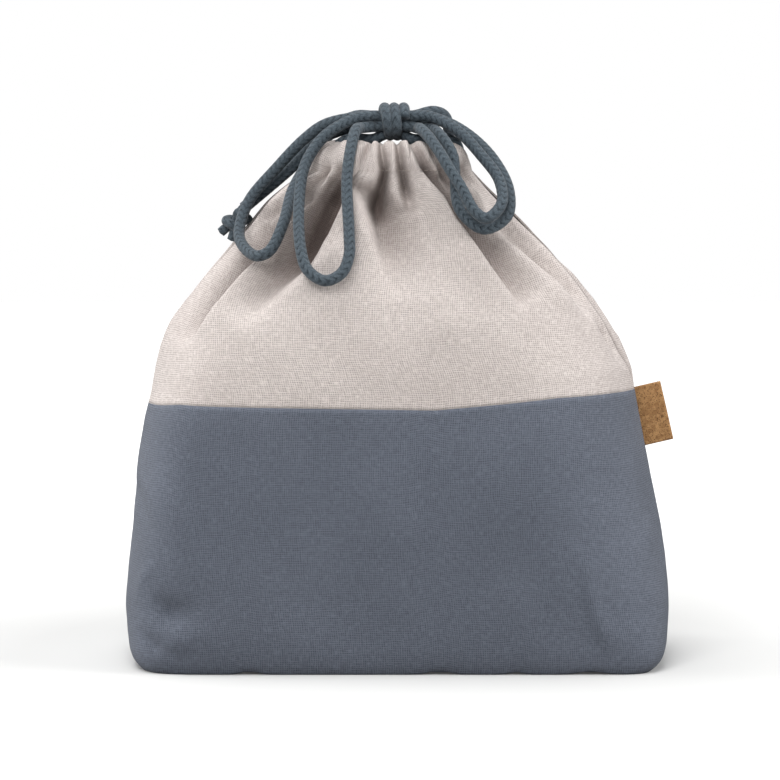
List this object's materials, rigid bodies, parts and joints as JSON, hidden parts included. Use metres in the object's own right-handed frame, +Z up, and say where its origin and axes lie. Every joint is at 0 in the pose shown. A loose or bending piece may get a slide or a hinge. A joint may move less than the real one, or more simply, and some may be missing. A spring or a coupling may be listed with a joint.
{
  "type": "drawstring lunch bag",
  "caption": "Two-tone cotton drawstring bag for a lunch box, gathered at the mouth and tied in a cord bow, with a flat base and a cork side label",
  "frame": {"origin": "on the floor under the middle of the base panel", "axes": "X to the right along the bag's width with the label at +X, Y through its depth with the front at -Y, Z up to the bow"},
  "size_m": [0.2315, 0.1112, 0.231],
  "materials": {
    "grey_blue_cotton": "plain woven cotton, matte",
    "cream_cotton": "plain woven cotton, matte",
    "braided_cord": "round braided cotton cord, matte",
    "cork": "thin pressed cork, matte"
  },
  "bodies": {
    "bag": {"base_panel": "grey_blue_cotton", "front_lower_panel": "grey_blue_cotton", "back_lower_panel": "grey_blue_cotton", "front_upper_panel": "cream_cotton", "back_upper_panel": "cream_cotton", "front_casing": "cream_cotton", "back_casing": "cream_cotton", "left_drawstring": "braided_cord", "right_drawstring": "braided_cord", "knot_core": "braided_cord", "knot_wrap": "braided_cord"},
    "left_loops": {"left_front_loop": "braided_cord", "left_rear_loop": "braided_cord", "left_end_front": "braided_cord", "left_end_rear": "braided_cord", "left_end_knot": "braided_cord"},
    "right_loops": {"right_front_loop": "braided_cord", "right_rear_loop": "braided_cord", "right_end_upper": "braided_cord", "right_end_lower": "braided_cord", "right_end_knot": "braided_cord"},
    "label": {"cork_label": "cork"}
  },
  "joints": [
    {"name": "left_loops_lift", "type": "hinge", "parent": "bag", "child": "left_loops", "pos_m": [-0.0098, 0, 0.228], "axis": [0, 1, 0], "range_deg": [0, 80]},
    {"name": "right_loops_lift", "type": "hinge", "parent": "bag", "child": "right_loops", "pos_m": [0.0062, 0, 0.228], "axis": [0, -1, 0], "range_deg": [0, 80]},
    {"name": "label_flap", "type": "hinge", "parent": "bag", "child": "label", "pos_m": [0.1055, 0, 0.08889], "axis": [-0.2284, 0, 0.9736], "range_deg": [-60, 60], "stiffness_Nm_per_rad": 0.001}
  ]
}
